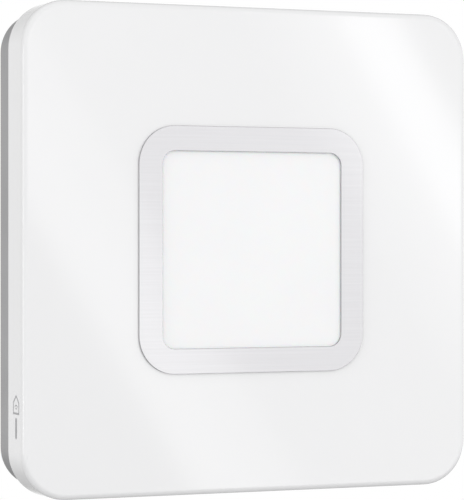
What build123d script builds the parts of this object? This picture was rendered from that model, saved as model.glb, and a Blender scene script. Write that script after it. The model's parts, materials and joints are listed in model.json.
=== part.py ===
"""Square wall-mounted smart home hub with a lit window.

A gloss white cover with a metal trim ring round an opal window pulls straight off a shallow metal base.
The base holds the light engine, the mains supply, the hub's control board and a presence sensor.

Frame: +X to the right and +Z up as seen from the room, origin at the centre of the back, on the wall.
"Depth" below is the distance in front of the wall, so a point at depth d has y = -d. Millimetres.
"""

from build123d import *
import os

# ---------------------------------------------------------------- driving dimensions
COVER_SIZE = 300.0  # outer side of the cover
COVER_CORNER = 28.5  # corner radius of the cover's outline
COVER_DEPTH = 26.2  # from the cover's rear edge to its face
COVER_EDGE = 3.4  # rounding between the cover's sides and its face
COVER_WALL = 3.0

BASE_DEPTH = 26.8  # the metal band that shows behind the cover
BASE_INSET = 4.2  # how far the base's outline stands inside the cover's
BASE_WALL = 2.0
BACK_RECESS = 1.0  # the back plate lies this far off the wall
PAN_SIZE = 164.0  # but for its middle, which touches it
PAN_CORNER = 22.0

RING_SIZE = 151.6  # outer side of the trim ring
RING_CORNER = 23.5
RING_BAND = 15.3
RING_THICKNESS = 1.3
TAPE_THICKNESS = 0.2

MOUNT_SPACING = 230.0  # wall screws, on a square
MOUNT_HOLE_RADIUS = 2.75
CABLE_RADIUS = 5.0  # bore of the cable grommet
CABLE_X, CABLE_Z = -95.0, 97.0

# ---------------------------------------------------------------- what follows from them
FACE = BASE_DEPTH + COVER_DEPTH  # depth of the cover's face
PLATE_BACK = FACE - COVER_WALL  # inner side of the cover's face
SKIRT_INSIDE = COVER_SIZE / 2 - COVER_WALL

BASE_SIZE = COVER_SIZE - 2 * BASE_INSET
BASE_CORNER = 25.0
BASE_INSIDE = BASE_SIZE / 2 - BASE_WALL
BACK_FRONT = BACK_RECESS + BASE_WALL  # inner side of the back plate
COLLAR_OUTSIDE = BASE_SIZE / 2 - 3.0  # the collar that the cover goes over
COLLAR_WALL = 1.6
COLLAR_DEPTH = 34.0

RING_BACK = FACE + TAPE_THICKNESS
RING_FRONT = RING_BACK + RING_THICKNESS
RING_INSIDE = RING_SIZE - 2 * RING_BAND  # side of the visible window
RING_INSIDE_CORNER = RING_CORNER - RING_BAND

TRAY_BACK, TRAY_FRONT = 14.0, 15.5  # the sheet that carries the boards
TRAY_SIZE = 272.0
TRAY_NOTCH = 36.0  # side of the square cut from each corner
WIRING_WIDTH, WIRING_HEIGHT = 67.0, 62.0  # and the larger one over the cable's way in
TRAY_LIP = 20.0
TRAY_SCREWS = [(x, z) for x in (-127, 127) for z in (-66, 66)] + [(-76, 0), (76, 0)]

BOARD_BACK, BOARD_FRONT = 20.5, 22.1
BOARDS = {  # centre x, centre z, width, height
    "supply_board": (19, 102, 154, 52),
    "control_board": (0, -104, 192, 48),
    "driver_board": (107, 0, 42, 88),
    "sensor_board": (-107, -1, 42, 46),
}
BOARD_HOLE_INSET = 3.6

LED_BOARD_SIZE = 116.0
LED_BOARD_BACK = TRAY_FRONT + 0.4  # thermal pad between the tray and the board
LED_BOARD_FRONT = LED_BOARD_BACK + 1.6
LED_ROWS = 6
LED_PITCH = 18.0

POLE_PITCH = 8.4  # terminal block poles, stacked along Z
POLES = ["lever_line", "lever_output", "lever_neutral", "lever_earth"]
BLOCK_X, BLOCK_Z, BLOCK_WIDTH, BLOCK_FRONT = -45.0, 102.0, 24.0, 34.0
BLOCK_ENTRY = 26.4  # depth of the wires' way in
LEVER_PIVOT_X = BLOCK_X + 7.0
LEVER_PIVOT_DEPTH = BLOCK_FRONT - 1.6
LEVER_PIN_RADIUS = 0.8
LEVER_WIDTH = 5.8
LEVER_LENGTH = 14.4  # short enough to clear the cover when it is up

DIAL_Z = -94.0
DIALS = {"dial_range": -82.0, "dial_time": -64.0, "dial_light": -46.0}
DIAL_BODY_FRONT = BOARD_FRONT + 5.0
DIAL_SHAFT_RADIUS = 2.0
BUTTON_X, BUTTON_Z = -82.0, -117.0
BUTTON_TRAVEL = 0.5


# ---------------------------------------------------------------- helpers
def layer(sketch, start, end):
    """A sketch in the wall's plane, local x along +X and local y along +Z, made solid between two depths."""
    return extrude(Plane.XZ.offset(start) * sketch, end - start)


def square(side, corner):
    return RectangleRounded(side, side, corner)


def block(x, z, width, height, start, end):
    return layer(Pos(x, z) * Rectangle(width, height), start, end)


def post(x, z, radius, start, end):
    return layer(Pos(x, z) * Circle(radius), start, end)


def posts(places, radius, start, end):
    return [post(x, z, radius, start, end) for x, z in places]


def front_edges(shape):
    """The edges of a shape's face nearest the room."""
    return shape.faces().sort_by(Axis.Y)[0].edges()


def quadrants(x, z):
    """The four points (x, z), (-x, z), (x, -z) and (-x, -z)."""
    return [(sx * x, sz * z) for sx in (-1, 1) for sz in (-1, 1)]


def screw(x, z, seat, head_radius, head_height, shank_radius, length, towards_wall=False):
    """A cross-recess pan-head screw with its head on the seat; towards_wall turns the head to the wall."""
    side = -1 if towards_wall else 1
    head_end = seat + side * head_height
    shank_end = seat - side * length
    head = post(x, z, head_radius, *sorted((seat, head_end)))
    rim = head.edges().filter_by(GeomType.CIRCLE).sort_by(Axis.Y)[-1 if towards_wall else 0]
    head = fillet(rim, 0.35 * head_height)
    recess_width, recess_depth = 0.3 * head_radius, 0.5 * head_height
    for width, height in ((1.2 * head_radius, recess_width), (recess_width, 1.2 * head_radius)):
        head -= block(x, z, width, height, *sorted((head_end, head_end - side * recess_depth)))
    return head + post(x, z, shank_radius, *sorted((seat, shank_end)))


def board_holes(name):
    """Where a board's four screws go."""
    x, z, width, height = BOARDS[name]
    reach_x, reach_z = width / 2 - BOARD_HOLE_INSET, height / 2 - BOARD_HOLE_INSET
    return [(x + dx, z + dz) for dx, dz in quadrants(reach_x, reach_z)]


def wire(points, radius, bend):
    """A round lead through points (x, depth, z), with an arc of the same radius at each corner."""
    path = FilletPolyline([(x, -depth, z) for x, depth, z in points], radius=bend)
    section = Plane(origin=path @ 0, z_dir=path % 0) * Circle(radius)
    return sweep(section, path)


def save(name, *solids):
    """Writes one node's STEP file; a node may be several separate solids."""
    flat = []
    for item in solids:
        flat += item if isinstance(item, list) else [item]
    shape = flat[0] if len(flat) == 1 else Compound(children=[s for f in flat for s in f.solids()])
    export_step(shape, f"parts/{name}.step")


# ---------------------------------------------------------------- base
def make_base_rim():
    """Metal rim: the side band, and the shoulder and collar that the cover fits over."""
    collar_inside = COLLAR_OUTSIDE - COLLAR_WALL
    collar_hole = square(2 * collar_inside, BASE_CORNER - 3.0 - COLLAR_WALL)
    shoulder = BASE_DEPTH - BASE_WALL
    rim = layer(square(BASE_SIZE, BASE_CORNER), 0, BASE_DEPTH)
    rim -= layer(square(2 * BASE_INSIDE, BASE_CORNER - BASE_WALL), 0, shoulder)
    rim += layer(square(2 * COLLAR_OUTSIDE, BASE_CORNER - 3.0), BASE_DEPTH - 0.5, COLLAR_DEPTH)
    rim -= layer(collar_hole, shoulder, COLLAR_DEPTH)
    for rivet in spring_rivets():
        rim -= rivet
    return rim


def make_base_back():
    """Back plate welded inside the rim, with its fixing holes, cable hole and screw bosses."""
    plate = layer(square(2 * BASE_INSIDE, BASE_CORNER - BASE_WALL), BACK_RECESS, BACK_FRONT)
    # the middle of the back is pressed out, to lie flat on the wall
    plate += layer(square(PAN_SIZE, PAN_CORNER), 0, BACK_FRONT)
    plate -= layer(square(PAN_SIZE - 2 * BASE_WALL, PAN_CORNER - BASE_WALL), BASE_WALL, BACK_FRONT)
    for x, z in TRAY_SCREWS:
        foot = BACK_FRONT if abs(x) > PAN_SIZE / 2 else BASE_WALL
        plate += post(x, z, 4.5, foot - 0.5, TRAY_BACK)
        plate -= post(x, z, 1.3, BACK_FRONT + 2.5, TRAY_BACK)
    reach = MOUNT_SPACING / 2
    for x, z in quadrants(reach, reach):
        plate += post(x, z, 8.0, BACK_FRONT - 0.5, BACK_FRONT + 2.0)
        plate -= post(x, z, MOUNT_HOLE_RADIUS, BACK_RECESS, BACK_FRONT + 2.0)
    plate -= post(CABLE_X, CABLE_Z, 11.0, BACK_RECESS, BACK_FRONT)
    earth_x, earth_z = EARTH_STUD
    plate += post(earth_x, earth_z, 4.5, BACK_FRONT - 0.5, EARTH_SEAT)
    plate -= post(earth_x, earth_z, 1.3, BACK_FRONT + 1.0, EARTH_SEAT)
    return plate


EARTH_STUD = (-84.0, 82.0)
EARTH_SEAT = 8.0


def make_wall_seal():
    """Foam strip that seals the rim to the wall."""
    outer = square(2 * BASE_INSIDE - 0.6, BASE_CORNER - BASE_WALL - 0.3)
    inner = square(2 * BASE_INSIDE - 12.6, BASE_CORNER - BASE_WALL - 6.3)
    return layer(outer - inner, 0, BACK_RECESS)


def make_cable_grommet():
    """Rubber grommet that grips the edge of the cable hole, with a tapered nose on the inside."""
    nose_end = BACK_FRONT + 6.0
    grommet = post(CABLE_X, CABLE_Z, 14.0, 0.1, BACK_RECESS)
    grommet += post(CABLE_X, CABLE_Z, 10.95, BACK_RECESS, BACK_FRONT)
    grommet += post(CABLE_X, CABLE_Z, 14.0, BACK_FRONT, BACK_FRONT + 2.0)
    nose = extrude(Plane.XZ.offset(BACK_FRONT + 2.0) * Pos(CABLE_X, CABLE_Z) * Circle(10.0), 4.0, taper=25)
    return grommet + nose - post(CABLE_X, CABLE_Z, CABLE_RADIUS, 0, nose_end)


def make_rating_label():
    """Blank metallised label on the back."""
    return layer(Pos(40, -112) * RectangleRounded(60, 34, 2), BACK_RECESS - 0.15, BACK_RECESS)


SPRING_LENGTH = 44.0
SPRING_TAB = 7.0
SPRING_SHEET = 0.4
SPRING_BACK, SPRING_FRONT = 29.0, 33.4


def cover_spring():
    """One bowed leaf spring for the collar's top side: flat riveted tabs and a crest that bears on the cover."""
    low = COLLAR_OUTSIDE + SPRING_SHEET / 2 + 0.02
    crest = SKIRT_INSIDE - 0.3 - SPRING_SHEET / 2
    reach = SPRING_LENGTH / 2
    bow = reach - SPRING_TAB
    path = [
        Line((-reach, low), (-bow, low)),
        ThreePointArc((-bow, low), (0, crest), (bow, low)),
        Line((bow, low), (reach, low)),
    ]
    return layer(trace(path, SPRING_SHEET), SPRING_BACK, SPRING_FRONT)


def spring_rivet(x):
    """One rivet through the collar's top side."""
    inside = COLLAR_OUTSIDE - COLLAR_WALL
    sheet = COLLAR_OUTSIDE + SPRING_SHEET + 0.04
    middle = (SPRING_BACK + SPRING_FRONT) / 2
    shank = Pos(x, -middle, (inside + sheet) / 2) * Cylinder(0.9, sheet - inside)
    outer_head = Pos(x, -middle, sheet + 0.3) * Cylinder(1.7, 0.6)
    inner_head = Pos(x, -middle, inside - 0.3) * Cylinder(1.7, 0.6)
    return shank + outer_head + inner_head


def round_the_sides(shape):
    """The shape, made for the top side, repeated on all four sides."""
    return [shape.rotate(Axis.Y, 90 * quarter) for quarter in range(4)]


def spring_rivets():
    reach = (SPRING_LENGTH - SPRING_TAB) / 2
    return round_the_sides(spring_rivet(-reach)) + round_the_sides(spring_rivet(reach))


def make_cover_springs():
    springs = []
    rivets = spring_rivets()
    for spring in round_the_sides(cover_spring()):
        for rivet in rivets:
            spring -= rivet
        springs.append(spring)
    return springs


def make_cover_seal():
    """Soft strip on the base's shoulder that closes the gap to the cover."""
    outside = SKIRT_INSIDE - 0.3
    outer = square(2 * outside, COVER_CORNER - COVER_WALL - 0.3)
    inner = square(2 * COLLAR_OUTSIDE + 0.1, BASE_CORNER - 3.0)
    return layer(outer - inner, BASE_DEPTH, BASE_DEPTH + 1.6)


# ---------------------------------------------------------------- gear tray and boards
def make_gear_tray():
    """White sheet tray with a folded lip, cut away at the corners for the wall screws and the wiring."""
    outline = Rectangle(TRAY_SIZE, TRAY_SIZE)
    reach = TRAY_SIZE / 2
    for x, z in quadrants(reach, reach):
        outline -= Pos(x, z) * Rectangle(2 * TRAY_NOTCH, 2 * TRAY_NOTCH)
    outline -= Pos(-reach, reach) * Rectangle(2 * WIRING_WIDTH, 2 * WIRING_HEIGHT)
    tray = layer(outline, TRAY_BACK, TRAY_LIP)
    tray = fillet(tray.edges().filter_by(Axis.Y), 3.0)
    outline = tray.faces().sort_by(Axis.Y)[0]
    tray -= extrude(offset(outline, -1.5, kind=Kind.INTERSECTION), -(TRAY_LIP - TRAY_FRONT))
    for x, z in TRAY_SCREWS:
        tray -= post(x, z, 1.7, TRAY_BACK, TRAY_FRONT)
    for x, z in quadrants(LIGHT_SCREW, LIGHT_SCREW):
        tray -= post(x, z, 1.3, TRAY_BACK, TRAY_FRONT)
    # cooling louvres beside the light engine
    for step in range(-3, 4):
        for x in (-79, 79):
            if step:
                tray -= layer(Pos(x, 8.0 * step) * SlotOverall(12, 2.4), TRAY_BACK, TRAY_FRONT)
    return tray


LIGHT_SCREW = 64.8  # screws of the reflector's foot, on a square


def make_chassis_screws():
    """Screws that hold the gear tray, and the earth screw."""
    held = [screw(x, z, TRAY_FRONT, 3.0, 2.0, 1.25, 8.0) for x, z in TRAY_SCREWS]
    x, z = EARTH_STUD
    return held + [screw(x, z, EARTH_SEAT + 0.8, 3.0, 2.0, 1.25, 4.5)]


def make_board(name):
    x, z, width, height = BOARDS[name]
    board = layer(Pos(x, z) * RectangleRounded(width, height, 2.0), BOARD_BACK, BOARD_FRONT)
    for hole in board_holes(name):
        board -= post(*hole, 1.5, BOARD_BACK, BOARD_FRONT)
    return board


def make_board_standoffs():
    made = []
    for name in BOARDS:
        for x, z in board_holes(name):
            pillar = layer(Pos(x, z) * RegularPolygon(3.0, 6), TRAY_FRONT, BOARD_BACK)
            made.append(pillar - post(x, z, 1.25, TRAY_FRONT, BOARD_BACK))
    return made


def make_board_screws():
    return [
        screw(x, z, BOARD_FRONT, 2.6, 1.8, 1.2, 5.5)
        for name in BOARDS
        for x, z in board_holes(name)
    ]


# ---------------------------------------------------------------- light engine
def make_thermal_pad():
    pad = layer(square(LED_BOARD_SIZE - 6, 4), TRAY_FRONT, LED_BOARD_BACK)
    return pad


def make_led_board():
    """White metal-core board with four corner notches for its clamping feet."""
    return layer(square(LED_BOARD_SIZE, 6), LED_BOARD_BACK, LED_BOARD_FRONT)


def led_places():
    first = -LED_PITCH * (LED_ROWS - 1) / 2
    line = [first + LED_PITCH * i for i in range(LED_ROWS)]
    return [(x, z) for x in line for z in line]


def make_led_packages():
    """Square emitters, each with a round phosphor dome."""
    made = []
    for x, z in led_places():
        case = block(x, z, 3.0, 3.0, LED_BOARD_FRONT, LED_BOARD_FRONT + 0.6)
        made.append(case + post(x, z, 1.15, LED_BOARD_FRONT + 0.6, LED_BOARD_FRONT + 0.8))
    return made


REFLECTOR_FRONT = 45.0
REFLECTOR_WALL = 1.8
LED_LEAD_Z = -30.0


def make_reflector_frame():
    """White light box round the LED board: a foot that clamps the board, and walls up to the window."""
    foot_corner = 6.0
    inside = 2 * 60.5
    walls = layer(square(inside + 2 * REFLECTOR_WALL, 8.0), TRAY_FRONT, REFLECTOR_FRONT)
    foot = layer(square(2 * 68.5, foot_corner), TRAY_FRONT, LED_BOARD_FRONT + 1.2)
    frame = walls + foot - layer(square(inside, 6.5), TRAY_FRONT, REFLECTOR_FRONT)
    # an inner ledge clamps the LED board's edge
    ledge_front = LED_BOARD_FRONT + 1.2
    frame += layer(square(inside + 1, 6.5) - square(LED_BOARD_SIZE - 3, 6.0), LED_BOARD_FRONT, ledge_front)
    for x, z in quadrants(LIGHT_SCREW, LIGHT_SCREW):
        frame -= post(x, z, 1.7, TRAY_FRONT, REFLECTOR_FRONT)
        frame -= post(x, z, 2.9, ledge_front, REFLECTOR_FRONT)
    notch_depth = LED_BOARD_FRONT + 4.2
    frame -= block(62, LED_LEAD_Z, 16, 6.0, ledge_front, notch_depth)
    return frame


def make_reflector_screws():
    seat = LED_BOARD_FRONT + 1.2
    return [screw(x, z, seat, 2.7, 1.8, 1.25, 4.5) for x, z in quadrants(LIGHT_SCREW, LIGHT_SCREW)]


# ---------------------------------------------------------------- mains supply
def pole_z(index):
    return BLOCK_Z + POLE_PITCH * (1.5 - index)


def make_terminal_block():
    """Four-pole lever terminal block: wires enter from the left, levers lie in channels on the front."""
    height = 4 * POLE_PITCH + 2.6
    body = block(BLOCK_X, BLOCK_Z, BLOCK_WIDTH, height, BOARD_FRONT, BLOCK_FRONT)
    body = chamfer(front_edges(body), 0.5)
    channel_back = BLOCK_FRONT - 3.4
    left = BLOCK_X - BLOCK_WIDTH / 2
    pin_reach = LEVER_WIDTH + 2 * 0.7
    for index in range(len(POLES)):
        z = pole_z(index)
        body -= block(BLOCK_X + 0.5, z, BLOCK_WIDTH - 1.0, LEVER_WIDTH + 0.5, channel_back, BLOCK_FRONT)
        body -= block(BLOCK_X - 2.0, z, 15.0, 5.6, BOARD_FRONT + 1.5, channel_back - 1.4)
        funnel = Pos(left + 1.6, -BLOCK_ENTRY, z) * Rot(0, 90, 0) * Cylinder(2.1, 3.4)
        body -= funnel
        pin_hole = Pos(LEVER_PIVOT_X, -LEVER_PIVOT_DEPTH, z) * Cylinder(LEVER_PIN_RADIUS + 0.06, pin_reach + 0.2)
        body -= pin_hole
    return body


def make_terminal_clamps():
    """A tinned busbar and a folded spring in each pole."""
    made = []
    for index in range(len(POLES)):
        z = pole_z(index)
        bar = block(BLOCK_X - 2.0, z, 13.0, 5.0, BOARD_FRONT + 1.7, BOARD_FRONT + 2.7)
        arm = block(BLOCK_X + 3.9, z, 1.0, 5.0, BOARD_FRONT + 2.7, 28.8)
        made.append(bar + arm)
    return made


def make_lever(index):
    """One clamping lever, closed: a bar with a raised grip, hinged on two short pins at its right end."""
    z = pole_z(index)
    bar_back, bar_front = LEVER_PIVOT_DEPTH - 1.1, BLOCK_FRONT + 0.4
    bar = block(LEVER_PIVOT_X - LEVER_LENGTH / 2, z, LEVER_LENGTH, LEVER_WIDTH, bar_back, bar_front)
    grip = block(LEVER_PIVOT_X - LEVER_LENGTH + 2.1, z, 4.2, LEVER_WIDTH, bar_back, bar_front + 1.0)
    lever = bar + grip
    lever = fillet(lever.edges().filter_by(Axis.Z).sort_by(Axis.Y)[:2], 0.45)
    barrel = Pos(LEVER_PIVOT_X, -LEVER_PIVOT_DEPTH, z) * Cylinder(1.5, LEVER_WIDTH)
    pin = Pos(LEVER_PIVOT_X, -LEVER_PIVOT_DEPTH, z) * Cylinder(LEVER_PIN_RADIUS, LEVER_WIDTH + 1.4)
    return lever + barrel + pin


def make_transformer_core():
    """Ferrite core: two E halves make a frame with a middle limb."""
    x, z = 47.0, 102.0
    core = block(x, z, 26, 24, 25.5, 36.5)
    for side in (-1, 1):
        core -= block(x + side * 7.0, z, 6.4, 15.0, 25.5, 36.5)
    return core


def make_transformer_winding():
    """Bobbin with its winding round the core's middle limb."""
    x, z = 47.0, 102.0
    winding = layer(Pos(x, z) * Rectangle(20.2, 14.8), 22.9, 39.0)
    winding = fillet(winding.edges().filter_by(Axis.Z), 3.0)
    winding -= block(x, z, 7.7, 24.2, 25.4, 36.6)
    for side in (-1, 1):
        winding -= block(x + side * 11.7, z, 3.2, 16.0, 25.4, 36.6)
        winding += block(x, z + side * 9.0, 20.0, 2.2, BOARD_FRONT, 25.2)
    return winding + block(x, z, 14.0, 20.2, BOARD_FRONT, 24.0)


CAPACITORS = [  # x, z, radius, front depth
    (22, 88, 6.3, 42.0),
    (22, 115, 6.3, 42.0),
    (69, 89, 5.0, 38.0),
    (69, 102, 5.0, 38.0),
    (103, -28, 4.0, 34.0),
    (114, -28, 4.0, 34.0),
]


def make_electrolytic_capacitors():
    """Aluminium cans with a rolled neck near the board and a scored top."""
    made = []
    for x, z, radius, front in CAPACITORS:
        can = post(x, z, radius, BOARD_FRONT, front)
        can = fillet(can.edges().filter_by(GeomType.CIRCLE).sort_by(Axis.Y)[0], 0.8)
        groove = post(x, z, radius + 1, BOARD_FRONT + 2.0, BOARD_FRONT + 2.8)
        can -= groove - post(x, z, radius - 0.5, BOARD_FRONT + 2.0, BOARD_FRONT + 2.8)
        for width, height in ((1.1 * radius, 0.5), (0.5, 1.1 * radius)):
            can -= block(x, z, width, height, front - 0.4, front)
        made.append(can)
    return made


def make_mains_filter():
    """Toroid choke standing on the board, and a boxed film capacitor beside it."""
    x, z = 1.0, 114.0
    ring = Pos(x, -(BOARD_FRONT + 9.0), z) * Rot(0, 90, 0) * Torus(6.2, 2.8)
    foot = block(x, z, 9.0, 16.0, BOARD_FRONT, BOARD_FRONT + 1.6)
    film = block(x, 89.0, 9.0, 19.0, BOARD_FRONT, BOARD_FRONT + 15.0)
    film = fillet(film.edges().filter_by(Axis.Y), 0.6)
    return [ring + foot, film]


def make_mains_fuse():
    """Glass fuse in two clips."""
    x, z, depth = -22.0, 102.0, 27.0
    tube = Pos(x, -depth, z) * Cylinder(2.2, 20.0)
    made = [tube]
    for side in (-1, 1):
        cap = Pos(x, -depth, z + side * 8.0) * Cylinder(2.6, 5.0)
        made[0] = made[0] + cap
        made[0] += block(x, z + side * 8.0, 3.4, 4.0, BOARD_FRONT, depth)
    return made


def make_surge_varistor():
    x, z = -12.0, 89.0
    disc = Pos(x, -(BOARD_FRONT + 7.4), z) * Rot(0, 90, 0) * Cylinder(5.6, 4.2)
    disc = fillet(disc.edges().filter_by(GeomType.CIRCLE), 1.2)
    legs = [post(x, z + side * 3.7, 0.45, BOARD_FRONT, BOARD_FRONT + 5.0) for side in (-1, 1)]
    return disc + legs[0] + legs[1]


def make_load_relay():
    case = block(87.0, 93.2, 12.0, 20.0, BOARD_FRONT, BOARD_FRONT + 15.5)
    return fillet(case.edges().filter_by(Axis.Y) + front_edges(case), 0.7)


def make_supply_shield():
    """Clear touch guard over the live part of the supply board."""
    x, z, width, height, front = 26.0, 102.0, 106.0, 50.0, 46.5
    wall = 1.2
    guard = layer(Pos(x, z) * RectangleRounded(width, height, 3.0), BOARD_FRONT, front)
    guard = fillet(guard.faces().sort_by(Axis.Y)[0].edges(), 1.0)
    inside = RectangleRounded(width - 2 * wall, height - 2 * wall, 2.0)
    guard -= layer(Pos(x, z) * inside, BOARD_FRONT, front - wall)
    for step in range(-4, 5):
        guard -= layer(Pos(x + 10.0 * step, z) * SlotOverall(24, 2.0, rotation=90), front - wall, front)
    return guard


# ---------------------------------------------------------------- control board
PROCESSOR = (14.0, -104.0)


def make_shield_can(x, z, width, height, rise):
    """Folded metal can over a radio or processor, with a shallow stamped step."""
    can = layer(Pos(x, z) * RectangleRounded(width, height, 1.0), BOARD_FRONT, BOARD_FRONT + rise)
    can = fillet(can.faces().sort_by(Axis.Y)[0].edges(), 0.4)
    step = layer(Pos(x, z) * RectangleRounded(0.62 * width, 0.62 * height, 1.5), 0, 0.25)
    return can + step.translate((0, -(BOARD_FRONT + rise), 0))


def make_stamped_antennas():
    """Two bent metal antennas that stand at the board's right edge."""
    made = []
    for z in (-120.0, -90.0):
        bar = block(88.0, z, 0.4, 16.0, BOARD_FRONT + 3.0, BOARD_FRONT + 7.0)
        top = block(84.5, z, 7.4, 16.0, BOARD_FRONT + 7.0, BOARD_FRONT + 7.4)
        legs = [block(88.0, z + dz, 0.4, 1.6, BOARD_FRONT, BOARD_FRONT + 3.0) for dz in (-6.0, 0.0)]
        made.append(bar + top + legs[0] + legs[1])
    return made


CHIPS = [  # x, z, width, height, rise
    (14 + 24, -118, 9, 12, 1.1),
    (14 + 24, -92, 8, 8, 1.0),
    (-8, -90, 6, 5, 1.4),
    (-8, -118, 5, 6, 1.6),
    (100, 12, 6, 7, 1.6),
    (114, 12, 5, 6, 1.6),
    (-99, -14, 7, 7, 1.1),
    (-114, -14, 5, 5, 1.2),
]


def make_board_chips():
    return [block(x, z, w, h, BOARD_FRONT, BOARD_FRONT + rise) for x, z, w, h, rise in CHIPS]


CELL = (-24.0, -110.0)


def make_cell_holder():
    """Holder of the clock's coin cell: an open ring on a base plate."""
    x, z = CELL
    holder = post(x, z, 11.6, BOARD_FRONT, BOARD_FRONT + 3.4)
    holder -= post(x, z, 10.15, BOARD_FRONT + 0.6, BOARD_FRONT + 3.4)
    holder -= block(x, z + 10.0, 9.0, 8.0, BOARD_FRONT + 0.6, BOARD_FRONT + 3.4)
    return holder


def make_clock_cell():
    x, z = CELL
    cell = post(x, z, 10.0, BOARD_FRONT + 0.6, BOARD_FRONT + 3.8)
    return fillet(cell.edges().filter_by(GeomType.CIRCLE).sort_by(Axis.Y)[0], 0.5)


def make_dial_bodies():
    """Bodies of the three trimmers, each with a bore for its dial's shaft."""
    made = []
    for x in DIALS.values():
        body = block(x, DIAL_Z, 11.0, 11.0, BOARD_FRONT, DIAL_BODY_FRONT)
        body = chamfer(front_edges(body), 0.4)
        made.append(body - post(x, DIAL_Z, DIAL_SHAFT_RADIUS + 0.05, BOARD_FRONT + 1.0, DIAL_BODY_FRONT))
    return made


def make_dial(name):
    """A fluted dial with a screwdriver slot and a pointer notch, on a short shaft."""
    x = DIALS[name]
    radius, back, front = 5.2, DIAL_BODY_FRONT + 0.3, DIAL_BODY_FRONT + 6.0
    knob = post(x, DIAL_Z, radius, back, front)
    knob = chamfer(knob.edges().filter_by(GeomType.CIRCLE).sort_by(Axis.Y)[0], 0.5)
    for flute in PolarLocations(radius + 0.35, 16):
        knob -= layer(Pos(x, DIAL_Z) * flute * Circle(0.7), back + 1.2, front)
    knob -= block(x, DIAL_Z, 7.0, 1.1, front - 1.6, front)
    knob -= block(x, DIAL_Z + 3.6, 0.9, 2.2, front - 0.7, front)
    return knob + post(x, DIAL_Z, DIAL_SHAFT_RADIUS, BOARD_FRONT + 1.4, back)


def make_button_switch():
    """Tactile switch under the pairing button."""
    case = block(BUTTON_X, BUTTON_Z, 8.0, 8.0, BOARD_FRONT, BOARD_FRONT + 3.6)
    case = chamfer(front_edges(case), 0.3)
    return case - post(BUTTON_X, BUTTON_Z, 1.8, BOARD_FRONT + 1.2, BOARD_FRONT + 3.6)


def make_pair_button():
    """Pairing button: a capped plunger that travels into its switch."""
    cap_back = BOARD_FRONT + 3.6 + BUTTON_TRAVEL + 0.15
    cap = post(BUTTON_X, BUTTON_Z, 3.4, cap_back, cap_back + 3.2)
    cap = fillet(cap.edges().filter_by(GeomType.CIRCLE).sort_by(Axis.Y)[0], 0.6)
    return cap + post(BUTTON_X, BUTTON_Z, 1.7, BOARD_FRONT + 1.2 + BUTTON_TRAVEL + 0.15, cap_back)


def make_status_led():
    x, z = -64.0, -117.0
    lamp = post(x, z, 1.5, BOARD_FRONT, BOARD_FRONT + 3.0)
    lamp += post(x, z, 1.9, BOARD_FRONT, BOARD_FRONT + 1.0)
    return fillet(lamp.edges().filter_by(GeomType.CIRCLE).sort_by(Axis.Y)[0], 1.2)


# ---------------------------------------------------------------- other boards
def make_driver_inductor():
    case = block(107.0, -6.0, 16.0, 16.0, BOARD_FRONT, BOARD_FRONT + 8.0)
    case = fillet(case.edges().filter_by(Axis.Y), 3.0)
    case = chamfer(front_edges(case), 0.6)
    return case - post(107.0, -6.0, 5.0, BOARD_FRONT + 7.4, BOARD_FRONT + 8.0)


def make_sensor_patches():
    """Copper patches of the presence sensor's aerial."""
    centres = [(-107 + dx, 9 + dz) for dx, dz in quadrants(8.0, 6.5)]
    return [block(x, z, 10.0, 9.0, BOARD_FRONT, BOARD_FRONT + 0.15) for x, z in centres]


# A connector's centre x, centre z, width and height; leads end on the side named.
CONNECTORS = {
    "supply_out": (87.0, 112.0, 8.0, 9.0),
    "driver_in": (112.0, 33.0, 9.0, 8.0),
    "driver_led": (91.5, LED_LEAD_Z + 5.0, 8.0, 9.0),
    "driver_data": (112.0, -36.0, 9.0, 6.0),
    "control_data": (80.0, -104.0, 8.0, 9.0),
    "control_sensor": (-60.0, -84.5, 9.0, 5.0),
    "sensor_data": (-107.0, -20.6, 9.0, 5.0),
}
CONNECTOR_RISE = 6.0
LEAD_DEPTH = BOARD_FRONT + 3.0
LEAD_RADIUS = 1.1


def make_board_connectors():
    """Board connectors, and the small one on the LED board."""
    made = [
        block(x, z, w, h, BOARD_FRONT, BOARD_FRONT + CONNECTOR_RISE)
        for x, z, w, h in CONNECTORS.values()
    ]
    made = [chamfer(front_edges(shell), 0.5) for shell in made]
    led_plug = block(50.0, LED_LEAD_Z, 6.0, 5.0, LED_BOARD_FRONT, LED_BOARD_FRONT + 4.0)
    return made + [led_plug]


# ---------------------------------------------------------------- leads held inside
def make_earth_lead():
    """Earth wire from the terminal block to the ring tag under the earth screw."""
    start_x = BLOCK_X - BLOCK_WIDTH / 2
    x, z = EARTH_STUD
    earth_z = pole_z(POLES.index("lever_earth"))
    route = [
        (start_x + 6.0, BLOCK_ENTRY - 0.4, earth_z),
        (start_x - 12.0, BLOCK_ENTRY - 0.4, earth_z),
        (start_x - 17.0, 16.0, z + 3.0),
        (x + 11.0, EARTH_SEAT + 1.2, z + 1.0),
        (x + 3.6, EARTH_SEAT + 1.2, z),
    ]
    lead = wire(route, LEAD_RADIUS, 3.2)
    tag = post(x, z, 3.4, EARTH_SEAT, EARTH_SEAT + 0.8)
    tag += block(x + 5.0, z, 5.0, 3.2, EARTH_SEAT, EARTH_SEAT + 0.1)
    tag -= post(x, z, 1.3, EARTH_SEAT, EARTH_SEAT + 0.8)
    return [lead, tag]


def make_led_lead():
    """Lead from the driver to the light engine, through the notch at the reflector's foot."""
    x, z = CONNECTORS["driver_led"][:2]
    led_depth = LED_BOARD_FRONT + 2.7
    route = [
        (x - 4.0, LEAD_DEPTH, z),
        (x - 9.0, LEAD_DEPTH, z),
        (x - 14.0, led_depth + 1.0, LED_LEAD_Z + 1.0),
        (66.0, led_depth, LED_LEAD_Z),
        (53.0, led_depth, LED_LEAD_Z),
    ]
    return wire(route, LEAD_RADIUS, 3.0)


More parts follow.
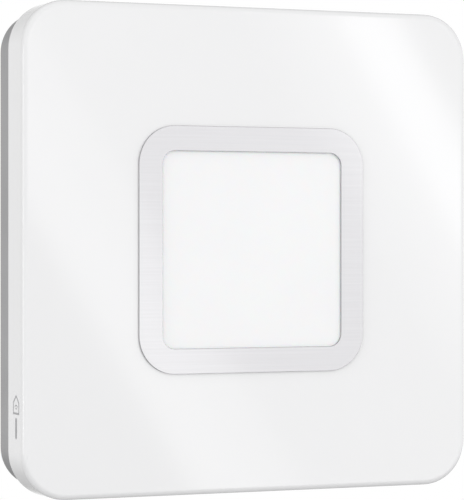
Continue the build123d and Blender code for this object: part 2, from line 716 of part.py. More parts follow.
def make_supply_lead():
    x, z = CONNECTORS["supply_out"][:2]
    end_x, end_z = CONNECTORS["driver_in"][:2]
    route = [
        (x + 4.0, LEAD_DEPTH, z),
        (x + 17.0, LEAD_DEPTH, z),
        (x + 25.0, LEAD_DEPTH, z - 14.0),
        (x + 29.0, LEAD_DEPTH, z - 34.0),
        (end_x, LEAD_DEPTH, end_z + 22.0),
        (end_x, LEAD_DEPTH, end_z + 4.0),
    ]
    return wire(route, LEAD_RADIUS, 7.0)


def make_data_leads():
    """Control board to driver, and control board to presence sensor."""
    x, z = CONNECTORS["driver_data"][:2]
    end_x, end_z = CONNECTORS["control_data"][:2]
    to_driver = [
        (x, LEAD_DEPTH, z - 3.0),
        (x, LEAD_DEPTH, z - 14.0),
        (x + 4.0, LEAD_DEPTH, z - 30.0),
        (x - 1.0, LEAD_DEPTH, z - 50.0),
        (x - 8.0, LEAD_DEPTH, end_z),
        (end_x + 4.0, LEAD_DEPTH, end_z),
    ]
    x, z = CONNECTORS["sensor_data"][:2]
    end_x, end_z = CONNECTORS["control_sensor"][:2]
    to_sensor = [
        (x, LEAD_DEPTH, z - 2.5),
        (x, LEAD_DEPTH, z - 16.0),
        (x + 5.0, LEAD_DEPTH, z - 34.0),
        (x + 20.0, LEAD_DEPTH, z - 45.0),
        (end_x, LEAD_DEPTH, end_z + 16.0),
        (end_x, LEAD_DEPTH, end_z + 2.5),
    ]
    return [wire(to_driver, LEAD_RADIUS, 5.0), wire(to_sensor, LEAD_RADIUS, 5.0)]


# ---------------------------------------------------------------- cover
WINDOW_HOLE = 125.0
DIFFUSER_FLANGE = 136.0
FLANGE_THICKNESS = 2.0
FRAME_BACK = PLATE_BACK - 2 * FLANGE_THICKNESS
FRAME_SCREWS = quadrants(70.6, 70.6) + [(-71.5, 0), (71.5, 0), (0, -71.5), (0, 71.5)]


def make_cover_shell():
    """Gloss cover: a skirt and a face in one piece, with stops that seat on the base's collar."""
    shell = layer(square(COVER_SIZE, COVER_CORNER), BASE_DEPTH, FACE)
    shell = fillet(front_edges(shell), COVER_EDGE)
    rear_edges = shell.faces().sort_by(Axis.Y)[-1].edges()
    shell = fillet(rear_edges, 0.5)
    shell -= layer(square(2 * SKIRT_INSIDE, COVER_CORNER - COVER_WALL), BASE_DEPTH, PLATE_BACK)
    shell -= layer(square(WINDOW_HOLE, 10.0), PLATE_BACK, FACE)
    rib_in, rib_out = COLLAR_OUTSIDE - COLLAR_WALL, SKIRT_INSIDE + 0.5
    for x in (-95.0, 95.0):
        rib = block(x, (rib_in + rib_out) / 2, 2.0, rib_out - rib_in, COLLAR_DEPTH + 0.1, PLATE_BACK + 0.5)
        for turned in round_the_sides(rib):
            shell += turned
    for x, z in FRAME_SCREWS:
        shell += post(x, z, 3.0, PLATE_BACK - FLANGE_THICKNESS, PLATE_BACK + 0.5)
        shell -= post(x, z, 1.15, PLATE_BACK - FLANGE_THICKNESS, PLATE_BACK)
    # slot for a flat blade, in the lower edge
    shell -= block(0, -COVER_SIZE / 2 + 1.5, 14.0, 3.2, BASE_DEPTH, BASE_DEPTH + 1.2)
    return shell


def make_window_diffuser():
    """Opal window: flush with the cover's face, held by a flange behind it."""
    window = layer(square(WINDOW_HOLE - 0.4, 9.8), PLATE_BACK, FACE)
    flange = layer(square(DIFFUSER_FLANGE, 12.0), PLATE_BACK - FLANGE_THICKNESS, PLATE_BACK)
    return window + flange


def make_diffuser_frame():
    """Frame that clamps the window's flange to the cover."""
    frame = layer(square(150.0, 14.0) - square(122.0, 8.5), FRAME_BACK, FRAME_BACK + FLANGE_THICKNESS)
    for x, z in FRAME_SCREWS:
        frame -= post(x, z, 1.5, FRAME_BACK, FRAME_BACK + FLANGE_THICKNESS)
    return frame


def make_diffuser_screws():
    return [screw(x, z, FRAME_BACK, 2.6, 1.5, 1.1, 3.6, towards_wall=True) for x, z in FRAME_SCREWS]


def make_trim_ring():
    """Brushed metal ring with a slightly broken front edge."""
    sketch = square(RING_SIZE, RING_CORNER) - square(RING_INSIDE, RING_INSIDE_CORNER)
    ring = layer(sketch, RING_BACK, RING_FRONT)
    return chamfer(front_edges(ring), 0.18)


def make_ring_tape():
    """Double-sided tape, a little narrower than the ring it holds."""
    margin = 1.2
    outer = square(RING_SIZE - 2 * margin, RING_CORNER - margin)
    inner = square(RING_INSIDE + 2 * margin, RING_INSIDE_CORNER + margin)
    return layer(outer - inner, FACE, RING_BACK)


# ---------------------------------------------------------------- write every node
def main():
    os.makedirs("parts", exist_ok=True)
    save("base_rim", make_base_rim())
    save("base_back", make_base_back())
    save("wall_seal", make_wall_seal())
    save("cable_grommet", make_cable_grommet())
    save("rating_label", make_rating_label())
    save("cover_springs", make_cover_springs())
    save("spring_rivets", spring_rivets())
    save("cover_seal", make_cover_seal())
    save("gear_tray", make_gear_tray())
    save("chassis_screws", make_chassis_screws())
    for name in BOARDS:
        save(name, make_board(name))
    save("board_standoffs", make_board_standoffs())
    save("board_screws", make_board_screws())
    save("thermal_pad", make_thermal_pad())
    save("led_board", make_led_board())
    save("led_packages", make_led_packages())
    save("reflector_frame", make_reflector_frame())
    save("reflector_screws", make_reflector_screws())
    save("terminal_block", make_terminal_block())
    save("terminal_clamps", make_terminal_clamps())
    for index, name in enumerate(POLES):
        save(name, make_lever(index))
    save("transformer_core", make_transformer_core())
    save("transformer_winding", make_transformer_winding())
    save("electrolytic_capacitors", make_electrolytic_capacitors())
    save("mains_filter", make_mains_filter())
    save("mains_fuse", make_mains_fuse())
    save("surge_varistor", make_surge_varistor())
    save("load_relay", make_load_relay())
    save("supply_shield", make_supply_shield())
    save("processor_shield", make_shield_can(*PROCESSOR, 26.0, 26.0, 3.0))
    radios = [make_shield_can(58.0, z, 18.0, 14.0, 2.4) for z in (-93.0, -115.0)]
    save("radio_shields", radios)
    save("stamped_antennas", make_stamped_antennas())
    save("board_chips", make_board_chips())
    save("cell_holder", make_cell_holder())
    save("clock_cell", make_clock_cell())
    save("dial_bodies", make_dial_bodies())
    for name in DIALS:
        save(name, make_dial(name))
    save("button_switch", make_button_switch())
    save("pair_button", make_pair_button())
    save("status_led", make_status_led())
    save("driver_inductor", make_driver_inductor())
    save("sensor_patches", make_sensor_patches())
    save("board_connectors", make_board_connectors())
    save("earth_lead", make_earth_lead())
    save("power_leads", make_led_lead(), make_supply_lead())
    save("data_leads", make_data_leads())
    save("cover_shell", make_cover_shell())
    save("window_diffuser", make_window_diffuser())
    save("diffuser_frame", make_diffuser_frame())
    save("diffuser_screws", make_diffuser_screws())
    save("trim_ring", make_trim_ring())
    save("ring_tape", make_ring_tape())


main()
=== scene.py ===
"""Looks for the square wall-mounted smart home hub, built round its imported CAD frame."""
import json
import math
import random

import bmesh
import bpy
from mathutils import Matrix, Vector
from mathutils.bvhtree import BVHTree


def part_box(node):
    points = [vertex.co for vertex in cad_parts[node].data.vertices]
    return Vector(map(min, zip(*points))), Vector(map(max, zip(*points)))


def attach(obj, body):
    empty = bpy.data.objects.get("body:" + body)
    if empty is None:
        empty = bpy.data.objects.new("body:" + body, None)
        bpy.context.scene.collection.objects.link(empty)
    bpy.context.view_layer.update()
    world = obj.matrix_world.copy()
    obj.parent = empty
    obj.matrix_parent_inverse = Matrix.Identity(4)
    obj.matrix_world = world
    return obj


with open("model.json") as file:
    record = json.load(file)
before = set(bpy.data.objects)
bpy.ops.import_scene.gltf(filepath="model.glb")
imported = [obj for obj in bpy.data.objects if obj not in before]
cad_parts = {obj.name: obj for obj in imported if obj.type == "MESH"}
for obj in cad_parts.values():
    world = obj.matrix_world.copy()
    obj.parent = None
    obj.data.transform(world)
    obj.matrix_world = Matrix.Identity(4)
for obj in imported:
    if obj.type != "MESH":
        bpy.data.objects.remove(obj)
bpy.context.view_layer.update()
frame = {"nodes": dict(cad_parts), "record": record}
nodes = frame["nodes"]
scene = bpy.context.scene
scene.view_settings.view_transform = "Standard"
MM = 0.001

# ---------------------------------------------------------------- camera
YAW = 23.86
camera_data = bpy.data.cameras.new("camera")
camera_data.lens = 181.5
camera_data.sensor_width = 36
camera_data.shift_y = -0.0132
camera = bpy.data.objects.new("camera", camera_data)
camera.location = (-0.64181, -1.47268, 0.00392)
camera.rotation_euler = (math.radians(90), 0, math.radians(-YAW))
scene.collection.objects.link(camera)
scene.camera = camera


# ---------------------------------------------------------------- material helpers
def new_material(name, colour, roughness, metallic=0.0, **sockets):
    """A Principled material whose constants sit on the shader's own sockets."""
    material = bpy.data.materials.new(name)
    material.use_nodes = True
    shader = material.node_tree.nodes["Principled BSDF"]
    shader.inputs["Base Color"].default_value = (*colour, 1)
    shader.inputs["Roughness"].default_value = roughness
    shader.inputs["Metallic"].default_value = metallic
    for socket, value in sockets.items():
        shader.inputs[socket.replace("_", " ")].default_value = value
    return material


class Tree:
    """Short calls for building a material's nodes."""

    def __init__(self, material):
        self.tree = material.node_tree
        self.shader = self.tree.nodes["Principled BSDF"]
        self.coordinates = self.tree.nodes.new("ShaderNodeTexCoord").outputs["Object"]

    def link(self, source, target):
        self.tree.links.new(source, target)

    def node(self, kind, **values):
        made = self.tree.nodes.new(kind)
        for key, value in values.items():
            setattr(made, key, value)
        return made

    def place(self, scale=(1, 1, 1), rotation=(0, 0, 0)):
        mapping = self.node("ShaderNodeMapping")
        mapping.inputs["Scale"].default_value = scale
        mapping.inputs["Rotation"].default_value = rotation
        self.link(self.coordinates, mapping.inputs["Vector"])
        return mapping.outputs["Vector"]

    def noise(self, scale, detail=2.0, stretch=(1, 1, 1)):
        texture = self.node("ShaderNodeTexNoise")
        texture.inputs["Scale"].default_value = scale
        texture.inputs["Detail"].default_value = detail
        self.link(self.place(stretch), texture.inputs["Vector"])
        return texture.outputs["Fac"]

    def cells(self, scale):
        texture = self.node("ShaderNodeTexVoronoi")
        texture.inputs["Scale"].default_value = scale
        self.link(self.place(), texture.inputs["Vector"])
        return texture.outputs["Distance"]

    def spread(self, value, low, high, start=0.3, end=0.7):
        """value's range from start to end, taken to low to high."""
        ranged = self.node("ShaderNodeMapRange")
        for socket, number in zip(("From Min", "From Max", "To Min", "To Max"), (start, end, low, high)):
            ranged.inputs[socket].default_value = number
        self.link(value, ranged.inputs["Value"])
        return ranged.outputs["Result"]

    def mix(self, factor, first, second):
        """Two colours or colour outputs mixed by a factor output."""
        mixed = self.node("ShaderNodeMix", data_type="RGBA")
        self.link(factor, mixed.inputs["Factor"])
        for socket, value in ((mixed.inputs[6], first), (mixed.inputs[7], second)):
            if isinstance(value, tuple):
                socket.default_value = (*value, 1)
            else:
                self.link(value, socket)
        return mixed.outputs[2]

    def math(self, operation, first, second):
        made = self.node("ShaderNodeMath", operation=operation)
        for socket, value in zip(made.inputs, (first, second)):
            if isinstance(value, (int, float)):
                socket.default_value = value
            else:
                self.link(value, socket)
        return made.outputs[0]

    def bump(self, height, distance, strength=1.0, onto=None):
        """A bump of that height in millimetres."""
        made = self.node("ShaderNodeBump")
        made.inputs["Distance"].default_value = distance * MM
        made.inputs["Strength"].default_value = strength
        self.link(height, made.inputs["Height"])
        if onto:
            self.link(onto, made.inputs["Normal"])
        return made.outputs["Normal"]

    def finish(self, colour=None, roughness=None, normal=None):
        for socket, value in (("Base Color", colour), ("Roughness", roughness), ("Normal", normal)):
            if value:
                self.link(value, self.shader.inputs[socket])


def tinted(colour, amount):
    return tuple(max(0.0, min(1.0, part * (1 + amount))) for part in colour)


def moulded(name, colour, roughness, grain=0.02, **sockets):
    """Moulded plastic: fine spark texture, and a slow drift in colour and gloss."""
    material = new_material(name, colour, roughness, **sockets)
    tree = Tree(material)
    drift = tree.noise(35, 3)
    spark = tree.noise(1600, 4)
    tree.finish(
        colour=tree.mix(tree.spread(drift, 0, 1), tinted(colour, -0.04), tinted(colour, 0.04)),
        roughness=tree.spread(spark, roughness - 0.06, roughness + 0.06),
        normal=tree.bump(spark, grain),
    )
    return material


def sheet_metal(name, colour, roughness, streak=(1, 1, 1), metallic=1.0, uneven=1.0, **sockets):
    """Rolled, drawn or plated metal, streaked along the axis of least stretch; uneven scales the marks."""
    material = new_material(name, colour, roughness, metallic, **sockets)
    tree = Tree(material)
    lines = tree.noise(900, 3, streak)
    stain = tree.noise(60, 3)
    dull, bright = tinted(colour, -0.08 * uneven), tinted(colour, 0.05 * uneven)
    tree.finish(
        colour=tree.mix(tree.spread(stain, 0, 1), dull, bright),
        roughness=tree.spread(lines, roughness - 0.09 * uneven, roughness + 0.09 * uneven),
        normal=tree.bump(lines, 0.01 * uneven),
    )
    return material


def rubbery(name, colour, roughness, cell=900, depth=0.06):
    """Rubber or foam: a pebbled skin with chalky high spots."""
    material = new_material(name, colour, roughness, Specular_IOR_Level=0.35)
    tree = Tree(material)
    pebbles = tree.cells(cell)
    bloom = tree.noise(120, 4)
    tree.finish(
        colour=tree.mix(tree.spread(bloom, 0, 1), tinted(colour, -0.15), tinted(colour, 0.3)),
        roughness=tree.spread(bloom, roughness - 0.08, roughness + 0.08),
        normal=tree.bump(pebbles, depth),
    )
    return material


def circuit_board(name, mask, bare, pitch=260):
    """Solder mask over copper: straight tracks show as faint raised lines, with tinned pads between them."""
    material = new_material(name, mask, 0.32, Coat_Weight=0.3, Coat_Roughness=0.15)
    tree = Tree(material)
    blocks = tree.node("ShaderNodeTexBrick", offset=0.35, offset_frequency=3, squash=0.6, squash_frequency=2)
    blocks.inputs["Scale"].default_value = pitch
    blocks.inputs["Mortar Size"].default_value = 0.035
    blocks.inputs["Mortar Smooth"].default_value = 0.1
    blocks.inputs["Brick Width"].default_value = 2.4
    blocks.inputs["Row Height"].default_value = 0.42
    tree.link(tree.place(rotation=(math.radians(90), 0, 0)), blocks.inputs["Vector"])
    tracks = blocks.outputs["Fac"]
    pads = tree.spread(tree.cells(330), 1, 0, 0.10, 0.13)
    laminate = tree.noise(1400, 2)
    track_colour = tree.mix(tracks, mask, tinted(mask, 0.55))
    tree.finish(
        colour=tree.mix(pads, track_colour, bare),
        roughness=tree.spread(laminate, 0.26, 0.38),
        normal=tree.bump(tree.math("MAXIMUM", tracks, pads), 0.03),
    )
    return material


def clear_moulding(name, colour, roughness):
    material = new_material(name, colour, roughness, Transmission_Weight=0.9, IOR=1.49)
    tree = Tree(material)
    flow = tree.noise(70, 3)
    tree.finish(roughness=tree.spread(flow, roughness * 0.7, roughness * 1.5), normal=tree.bump(flow, 0.05))
    return material


# ---------------------------------------------------------------- the finishes that show
def gloss_white():
    """High-gloss moulded cover: faint orange peel and a slow drift in gloss."""
    colour = (0.782, 0.782, 0.788)
    material = new_material("gloss_white", colour, 0.075, Coat_Weight=1.0, Coat_Roughness=0.07)
    tree = Tree(material)
    peel = tree.noise(140, 2)
    drift = tree.noise(9, 3)
    tree.finish(
        colour=tree.mix(tree.spread(drift, 0, 1), tinted(colour, -0.006), tinted(colour, 0.006)),
        roughness=tree.spread(drift, 0.065, 0.085),
        normal=tree.bump(peel, 0.001, 0.4),
    )
    return material


def opal_window():
    """Opal sheet with a fine matt face."""
    colour = (0.87, 0.87, 0.875)
    material = new_material("opal_window", colour, 0.34, Subsurface_Weight=0.15, Subsurface_Scale=0.004)
    tree = Tree(material)
    frost = tree.noise(2200, 3)
    tree.finish(
        colour=tree.mix(tree.spread(tree.noise(12, 3), 0, 1), tinted(colour, -0.008), tinted(colour, 0.008)),
        roughness=tree.spread(frost, 0.3, 0.4),
        normal=tree.bump(frost, 0.004),
    )
    return material


def brushed_ring():
    """Clear-anodised metal, brushed from side to side."""
    colour = (0.378, 0.372, 0.39)
    coat = {"Coat_Weight": 1.0, "Coat_Roughness": 0.09, "Coat_IOR": 3.0}
    material = new_material("brushed_ring", colour, 0.45, 1.0, **coat)
    tree = Tree(material)
    fine = tree.noise(1, 4, (45, 45, 5200))
    broad = tree.noise(1, 3, (10, 10, 900))
    hairs = tree.math("ADD", tree.math("MULTIPLY", fine, 0.6), tree.math("MULTIPLY", broad, 0.4))
    tree.finish(
        colour=tree.mix(tree.spread(hairs, 0, 1, 0.35, 0.65), tinted(colour, -0.05), tinted(colour, 0.05)),
        roughness=tree.spread(fine, 0.38, 0.52),
        normal=tree.bump(fine, 0.006, 0.6),
    )
    return material


def base_lacquer():
    """Satin metallic lacquer on the pressed base: fine flake under a smooth skin."""
    colour = (0.36, 0.36, 0.365)
    material = new_material("base_lacquer", colour, 0.42, 0.6)
    tree = Tree(material)
    flake = tree.cells(2600)
    drift = tree.noise(20, 3)
    tree.finish(
        colour=tree.mix(tree.spread(flake, 0, 1, 0.1, 0.6), tinted(colour, 0.05), tinted(colour, -0.05)),
        roughness=tree.spread(drift, 0.38, 0.46),
        normal=tree.bump(flake, 0.004),
    )
    return material


ALONG_X = (0.02, 1, 1)
ALONG_Z = (1, 1, 0.02)
finishes = {
    "base_metal": base_lacquer(),
    "tray_white": moulded("tray_white", (0.74, 0.75, 0.74), 0.5, 0.05),
    "foam_dark": rubbery("foam_dark", (0.035, 0.036, 0.038), 0.8, 1500, 0.15),
    "rubber_grey": rubbery("rubber_grey", (0.05, 0.052, 0.055), 0.62),
    "label_silver": sheet_metal("label_silver", (0.62, 0.63, 0.64), 0.4, ALONG_X, 0.85, 0.3),
    "spring_steel": sheet_metal("spring_steel", (0.5, 0.5, 0.48), 0.28, ALONG_X),
    "rivet_metal": sheet_metal("rivet_metal", (0.6, 0.6, 0.61), 0.34),
    "screw_zinc": sheet_metal("screw_zinc", (0.58, 0.58, 0.56), 0.3),
    "board_green": circuit_board("board_green", (0.012, 0.1, 0.045), (0.6, 0.6, 0.58)),
    "board_blue": circuit_board("board_blue", (0.012, 0.04, 0.13), (0.72, 0.56, 0.25)),
    "pillar_brass": sheet_metal("pillar_brass", (0.72, 0.53, 0.25), 0.3, ALONG_X),
    "pad_grey": rubbery("pad_grey", (0.32, 0.34, 0.36), 0.75, 1200, 0.05),
    "led_board_white": moulded("led_board_white", (0.82, 0.82, 0.8), 0.38, 0.03),
    "phosphor": moulded("phosphor", (0.86, 0.7, 0.2), 0.3, 0.01),
    "reflector_white": moulded("reflector_white", (0.86, 0.86, 0.85), 0.55, 0.03),
    "terminal_grey": moulded("terminal_grey", (0.4, 0.41, 0.42), 0.45, 0.04),
    "contact_tin": sheet_metal("contact_tin", (0.66, 0.66, 0.64), 0.25, ALONG_X),
    "lever_orange": moulded("lever_orange", (0.75, 0.2, 0.02), 0.3, 0.015),
    "ferrite": rubbery("ferrite", (0.045, 0.045, 0.047), 0.55, 2000, 0.03),
    "winding_tape": moulded("winding_tape", (0.72, 0.5, 0.06), 0.25, 0.02),
    "can_metal": sheet_metal("can_metal", (0.52, 0.53, 0.55), 0.3),
    "filter_blue": moulded("filter_blue", (0.09, 0.2, 0.38), 0.3, 0.05),
    "fuse_glass": clear_moulding("fuse_glass", (0.9, 0.92, 0.91), 0.05),
    "varistor_blue": moulded("varistor_blue", (0.03, 0.16, 0.42), 0.22, 0.06),
    "relay_black": moulded("relay_black", (0.025, 0.025, 0.028), 0.36, 0.03),
    "guard_clear": clear_moulding("guard_clear", (0.93, 0.96, 0.97), 0.08),
    "shield_tin": sheet_metal("shield_tin", (0.62, 0.62, 0.6), 0.28, ALONG_X),
    "chip_black": moulded("chip_black", (0.02, 0.02, 0.022), 0.5, 0.03),
    "holder_black": moulded("holder_black", (0.03, 0.03, 0.032), 0.42, 0.03),
    "cell_steel": sheet_metal("cell_steel", (0.7, 0.7, 0.69), 0.2, ALONG_Z),
    "dial_white": moulded("dial_white", (0.72, 0.72, 0.69), 0.4, 0.02),
    "dial_body_blue": moulded("dial_body_blue", (0.04, 0.12, 0.3), 0.38, 0.03),
    "button_white": moulded("button_white", (0.8, 0.8, 0.78), 0.25, 0.01),
    "lamp_clear": moulded("lamp_clear", (0.2, 0.6, 0.28), 0.12, 0.005, Transmission_Weight=0.4),
    "inductor_grey": rubbery("inductor_grey", (0.09, 0.09, 0.095), 0.5, 1800, 0.03),
    "patch_gold": sheet_metal("patch_gold", (0.8, 0.6, 0.28), 0.24),
    "connector_white": moulded("connector_white", (0.74, 0.72, 0.66), 0.4, 0.03),
    "lead_green": moulded("lead_green", (0.08, 0.32, 0.06), 0.4, 0.02),
    "lead_red": moulded("lead_red", (0.45, 0.03, 0.03), 0.4, 0.02),
    "lead_grey": moulded("lead_grey", (0.25, 0.26, 0.27), 0.4, 0.02),
    "cover_white": gloss_white(),
    "window_opal": opal_window(),
    "frame_white": moulded("frame_white", (0.7, 0.7, 0.69), 0.48, 0.03),
    "ring_silver": brushed_ring(),
    "tape_clear": rubbery("tape_clear", (0.2, 0.2, 0.2), 0.7),
}
for part in frame["record"]["subparts"]:
    carried = nodes[part["node"]]
    carried.data.materials.clear()
    carried.data.materials.append(finishes[part["material_slot"]])


# ---------------------------------------------------------------- small parts on the boards
OVER_THE_BOARDS = (
    "supply_shield", "cover_shell", "window_diffuser", "diffuser_frame",
    "diffuser_screws", "trim_ring", "ring_tape",
)
# length, width and height of the usual chip cases; the smallest is twice as common
CHIP_SIZES = (
    (1.6 * MM, 0.8 * MM, 0.6 * MM),
    (1.6 * MM, 0.8 * MM, 0.6 * MM),
    (2.0 * MM, 1.25 * MM, 0.8 * MM),
    (3.2 * MM, 1.6 * MM, 1.0 * MM),
)
CLUSTERS_PER_AREA = 9000  # tried for each square metre of board
CHIP_MARGIN = 0.6 * MM  # bare board wanted round each part
FLUSH = 0.05 * MM  # a hit this near the board's front is the board itself
EYE = 0.03  # the bareness of the board is sounded from this far in front
SOLDER_REACH = 0.45 * MM


def mesh_piece(name, shape, material, body):
    """A finished bmesh as a piece that rides on a body."""
    mesh = bpy.data.meshes.new(name)
    bmesh.ops.recalc_face_normals(shape, faces=shape.faces)
    shape.to_mesh(mesh)
    shape.free()
    mesh.materials.append(material)
    piece = bpy.data.objects.new(name, mesh)
    scene.collection.objects.link(piece)
    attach(piece, body)
    return piece


def add_prism(shape, low, high, taper=0.0):
    """A block from low to high whose front, towards -Y, is smaller by taper all round."""
    front, back = low[1], high[1]
    corners = []
    for depth, inset in ((back, 0.0), (front + taper, 0.0), (front, taper)):
        for x, z in ((low[0] + inset, low[2] + inset), (high[0] - inset, low[2] + inset),
                     (high[0] - inset, high[2] - inset), (low[0] + inset, high[2] - inset)):
            corners.append(shape.verts.new((x, depth, z)))
    for ring in (0, 4):
        for k in range(4):
            after = (k + 1) % 4
            upper = ring + 4
            shape.faces.new([corners[c] for c in (ring + k, ring + after, upper + after, upper + k)])
    shape.faces.new(corners[8:12])
    shape.faces.new(corners[0:4])


def add_solder(shape, x, z, along, reach, height, half, board):
    """A wedge of solder running up a chip part's end; along is +1 or -1 on the part's own axis."""
    axis, side = along
    root, top = Vector((x, board, z)), Vector((x, board - height, z))
    foot = root + axis * reach
    hollow = foot.lerp(top, 0.5) - axis * reach * 0.18
    wedge = []
    for sign in (-1, 1):
        shift = side * half * sign
        wedge.append([shape.verts.new(point + shift) for point in (root, foot, hollow, top)])
    for k in range(4):
        after = (k + 1) % 4
        shape.faces.new((wedge[0][k], wedge[0][after], wedge[1][after], wedge[1][k]))
    shape.faces.new(wedge[0])
    shape.faces.new(wedge[1])


def board_fill(names, seed=7):
    """Rows of resistors and ceramic capacitors wherever a board's front is bare and its rows fit."""
    chance = random.Random(seed)
    vertices, triangles = [], []
    for part in frame["record"]["subparts"]:
        name = part["node"]
        if name in OVER_THE_BOARDS:
            continue
        mesh = nodes[name].data
        mesh.calc_loop_triangles()
        first = len(vertices)
        vertices.extend(tuple(vertex.co) for vertex in mesh.vertices)
        triangles.extend(tuple(first + corner for corner in face.vertices) for face in mesh.loop_triangles)
    everything = BVHTree.FromPolygons(vertices, triangles)
    bodies = {"resistors": bmesh.new(), "capacitors": bmesh.new()}
    ends = bmesh.new()
    placed = []
    for name in names:
        low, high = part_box(name)
        front = low[1]

        def bare(x, z, reach_x, reach_z):
            for step_x in (-1, -0.5, 0, 0.5, 1):
                for step_z in (-1, 0, 1):
                    start = Vector((x + step_x * reach_x, front - EYE, z + step_z * reach_z))
                    hit = everything.ray_cast(start, Vector((0, 1, 0)))[0]
                    if hit is None or abs(hit.y - front) > FLUSH:
                        return False
            return True

        area = (high[0] - low[0]) * (high[2] - low[2])
        for cluster in range(int(area * CLUSTERS_PER_AREA)):
            kind = "resistors" if chance.random() < 0.5 else "capacitors"
            length, width, height = chance.choice(CHIP_SIZES)
            upright = chance.random() < 0.5
            rows, columns = chance.randint(1, 3), chance.randint(2, 5)
            centre = (chance.uniform(low[0], high[0]), chance.uniform(low[2], high[2]))
            for row in range(rows):
                for column in range(columns):
                    across, down = column * width * 1.9, row * length * 1.7
                    x = centre[0] + (across if upright else down)
                    z = centre[1] + (down if upright else across)
                    reach = (width / 2, length / 2) if upright else (length / 2, width / 2)
                    if not bare(x, z, reach[0] + CHIP_MARGIN, reach[1] + CHIP_MARGIN):
                        continue
                    radius = max(reach)
                    if any(math.hypot(x - a, z - b) < c + radius * 0.55 for a, b, c in placed):
                        continue
                    placed.append((x, z, radius))
                    rise = height * (0.75 if kind == "resistors" else 1.0)
                    add_chip(bodies[kind], ends, x, z, front, length, width, rise, upright)
    print("small parts on the boards:", len(placed))
    mesh_piece("chip_resistors", bodies["resistors"], finishes["chip_black"], "base")
    ceramic = moulded("ceramic_tan", (0.5, 0.36, 0.2), 0.35, 0.01)
    mesh_piece("chip_capacitors", bodies["capacitors"], ceramic, "base")
    mesh_piece("chip_ends", ends, finishes["contact_tin"], "base")


def add_chip(body, ends, x, z, board, length, width, height, upright):
    """One two-ended part: a chamfered body, two tinned ends and their solder."""
    cap = length * 0.18
    axis, side = (Vector((0, 0, 1)), Vector((1, 0, 0))) if upright else (Vector((1, 0, 0)), Vector((0, 0, 1)))
    centre = Vector((x, 0, z))
    for low, high, shape, extra in (
        (-length / 2 + cap, length / 2 - cap, body, 0.0),
        (-length / 2, -length / 2 + cap, ends, 0.00002),
        (length / 2 - cap, length / 2, ends, 0.00002),
    ):
        half = side * (width / 2 + extra)
        first, last = centre + axis * low - half, centre + axis * high + half
        add_prism(
            shape,
            (min(first.x, last.x), board - 0.00008 - height - extra, min(first.z, last.z)),
            (max(first.x, last.x), board - 0.00002, max(first.z, last.z)),
            0.00006,
        )
    for sign in (-1, 1):
        end = centre + axis * (length / 2) * sign
        along = (axis * sign, side)
        add_solder(ends, end.x, end.z, along, SOLDER_REACH, height * 0.75, width / 2, board - 0.00001)


board_fill(("supply_board", "control_board", "driver_board", "sensor_board"))


# ---------------------------------------------------------------- the mark printed on the cover's side
PRINT = 0.02 * MM  # thickness of the ink


def add_stroke(shape, outer, inner, x, closed=True):
    """A stroke between two outlines of the same number of points, on the cover's side; open ones get ends."""
    count = len(outer)
    layers = ((depth, outline) for depth in (x, x - PRINT) for outline in (outer, inner))
    rings = [[shape.verts.new((depth, y, z)) for y, z in outline] for depth, outline in layers]
    for k in range(count if closed else count - 1):
        after = (k + 1) % count
        for low, high in ((2, 3), (0, 2), (1, 3), (0, 1)):
            shape.faces.new((rings[low][k], rings[low][after], rings[high][after], rings[high][k]))
    if not closed:
        for k in (0, count - 1):
            shape.faces.new((rings[0][k], rings[1][k], rings[3][k], rings[2][k]))


def scaled(outline, centre, factor):
    return [(centre[0] + (y - centre[0]) * factor, centre[1] + (z - centre[1]) * factor) for y, z in outline]


def arc_band(centre, radius, width, start, end, steps=14):
    """An arc stroke as two outlines that share their ends."""
    angles = [start + (end - start) * k / steps for k in range(steps + 1)]

    def sweep(r):
        return [(centre[0] + r * math.cos(angle), centre[1] + r * math.sin(angle)) for angle in angles]

    return sweep(radius + width / 2), sweep(radius - width / 2)


def side_mark():
    """A plain house outline over a rounded rule, printed small in grey."""
    shape = bmesh.new()
    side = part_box("cover_shell")[0][0] + 0.000001
    middle_y, top = -0.0415, -0.0865
    corners = ((0, 0), (5.6, -4.8), (5.6, -12), (-5.6, -12), (-5.6, -4.8))
    house = [(middle_y + y * MM, top + z * MM) for y, z in corners]
    add_stroke(shape, house, scaled(house, (middle_y, top - 6.8 * MM), 0.77), side)
    for radius in (1.3, 3.1):
        centre = (middle_y, top - 9.6 * MM)
        outer, inner = arc_band(centre, radius * MM, 0.8 * MM, math.radians(40), math.radians(140))
        add_stroke(shape, outer, inner, side, closed=False)
    rule = []
    for centre_z, first in ((top - 15.5 * MM, 0), (top - 25.2 * MM, 180)):
        for k in range(9):
            angle = math.radians(first + k * 22.5)
            rule.append((middle_y + 1.6 * MM * math.cos(angle), centre_z + 1.6 * MM * math.sin(angle)))
    add_stroke(shape, rule, scaled(rule, (middle_y, top - 19.5 * MM), 0.02), side)
    ink = moulded("mark_ink", (0.36, 0.36, 0.37), 0.4, 0.004)
    mesh_piece("side_mark", shape, ink, "front_cover")


side_mark()

# ---------------------------------------------------------------- light, floor and backdrop
# the studio's walls by height: a direction's z on a scale from 0 straight down to 1 straight up, and radiance
FRONT_WALL = ((0.25, 0.5), (0.42, 1.0), (0.58, 1.0), (0.75, 0.85))
BACK_WALL = ((0.28, 0.3), (0.44, 1.0), (0.56, 1.0), (0.72, 0.55))
FRONT_GAIN = 1.37  # the wall in front of the object is this much brighter than the one behind it


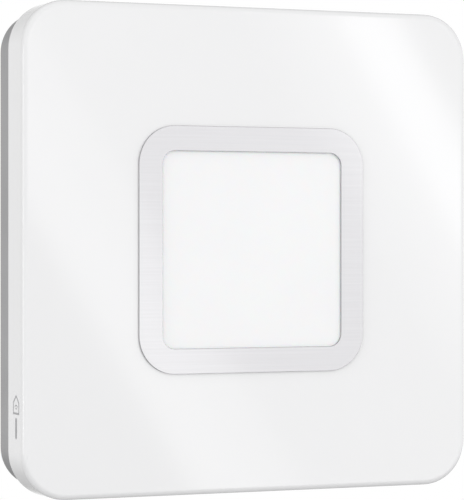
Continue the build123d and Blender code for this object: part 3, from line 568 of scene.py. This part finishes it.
def white_world():
    """White walls round the horizon, darker overhead and below, most of all behind the object."""
    world = bpy.data.worlds.new("studio")
    world.use_nodes = True
    tree = world.node_tree
    split = tree.nodes.new("ShaderNodeSeparateXYZ")
    tree.links.new(tree.nodes.new("ShaderNodeTexCoord").outputs["Generated"], split.inputs["Vector"])

    def ranged(value, numbers):
        made = tree.nodes.new("ShaderNodeMapRange")
        for socket, number in zip(("From Min", "From Max", "To Min", "To Max"), numbers):
            made.inputs[socket].default_value = number
        tree.links.new(split.outputs[value], made.inputs["Value"])
        return made.outputs["Result"]

    def wall(stops):
        ramp = tree.nodes.new("ShaderNodeValToRGB")
        while len(ramp.color_ramp.elements) < len(stops):
            ramp.color_ramp.elements.new(0.5)
        for stop, (position, grey) in zip(ramp.color_ramp.elements, stops):
            stop.position = position
            stop.color = (grey, grey, grey, 1)
        tree.links.new(height, ramp.inputs["Fac"])
        return ramp.outputs["Color"]

    height = ranged("Z", (-1, 1, 0, 1))
    both = tree.nodes.new("ShaderNodeMix")
    both.data_type = "RGBA"
    tree.links.new(ranged("Y", (0.35, -0.35, 0, 1)), both.inputs["Factor"])
    tree.links.new(wall(BACK_WALL), both.inputs[6])
    tree.links.new(wall(FRONT_WALL), both.inputs[7])
    tree.links.new(both.outputs[2], tree.nodes["Background"].inputs["Color"])
    tree.links.new(ranged("Y", (0, -1, 1, FRONT_GAIN)), tree.nodes["Background"].inputs["Strength"])
    scene.world = world


def hang(data, place, turn, glow, area):
    """A lamp of that radiance, which the camera doesn't see."""
    data.energy = glow * math.pi * area
    lamp = bpy.data.objects.new(data.name, data)
    lamp.matrix_world = Matrix.Translation(place) @ turn.to_4x4()
    lamp.visible_camera = False
    scene.collection.objects.link(lamp)


def fill_light(name, place, width, height, glow):
    """An upright softbox aimed at the object."""
    data = bpy.data.lights.new(name, "AREA")
    data.shape = "RECTANGLE"
    data.size, data.size_y = width, height
    hang(data, Vector(place), (-Vector(place)).to_track_quat("-Z", "Y").to_matrix(), glow, width * height)


BANK_DISTANCE = 1.5  # the softboxes hang in one upright plane this far in front of the wall
BANK_TILT = 58.0  # and lean this far from level, so that the gloss shows slanting bands


def softbox(layer, name, start, end, glow, length=0.95, along=0.35):
    """A strip of the bank from start to end across its slant; each hangs in a layer of its own."""
    data = bpy.data.lights.new(name, "AREA")
    data.shape = "RECTANGLE"
    data.size, data.size_y = end - start, length
    tilt = math.radians(BANK_TILT)
    across = Vector((math.sin(tilt), 0, math.cos(tilt)))
    downhill = Vector((math.cos(tilt), 0, -math.sin(tilt)))
    facing = Vector((0, -1, 0))  # a lamp shines along its own -Z, here towards the wall
    place = across * (start + end) / 2 + downhill * along + facing * (BANK_DISTANCE + 0.01 * layer)
    turn = Matrix((across, facing.cross(across), facing)).transposed()
    hang(data, place, turn, glow, (end - start) * length)


def pale_floor():
    """A plain pale floor well below the object, which thins out to nothing before its edge."""
    mesh = bpy.data.meshes.new("floor")
    drop, reach = -0.75, 2.4
    corners = [(-reach, -reach, drop), (reach, -reach, drop), (reach, reach, drop), (-reach, reach, drop)]
    mesh.from_pydata(corners, [], [(0, 1, 2, 3)])
    floor = bpy.data.objects.new("floor", mesh)
    scene.collection.objects.link(floor)
    grey = (0.62, 0.62, 0.62)
    paint = new_material("floor_pale", grey, 0.7)
    tree = Tree(paint)
    grain = tree.noise(900, 3)
    tree.finish(
        colour=tree.mix(tree.spread(grain, 0, 1), tinted(grey, -0.01), tinted(grey, 0.01)),
        normal=tree.bump(grain, 0.05),
    )
    distance = tree.node("ShaderNodeVectorMath", operation="LENGTH")
    tree.link(tree.coordinates, distance.inputs[0])
    tree.link(tree.spread(distance.outputs["Value"], 1, 0, 1.3, 2.3), tree.shader.inputs["Alpha"])
    mesh.materials.append(paint)


white_world()
pale_floor()
for layer, strip in enumerate((
    ("box_wide", 0.33, 1.0, 0.33),
    ("box_left_core", 0.33, 0.40, 0.15),
    ("box_left_fall", 0.33, 0.46, 0.35),
    ("box_right_fall", 0.72, 0.905, 0.2),
    ("box_right_rise", 0.77, 0.905, 0.22),
    ("box_right_core", 0.83, 0.905, 1.0),
)):
    softbox(layer, *strip)
fill_light("side", (-1.46, -0.36, 0.0), 0.36, 0.64, 2.3)
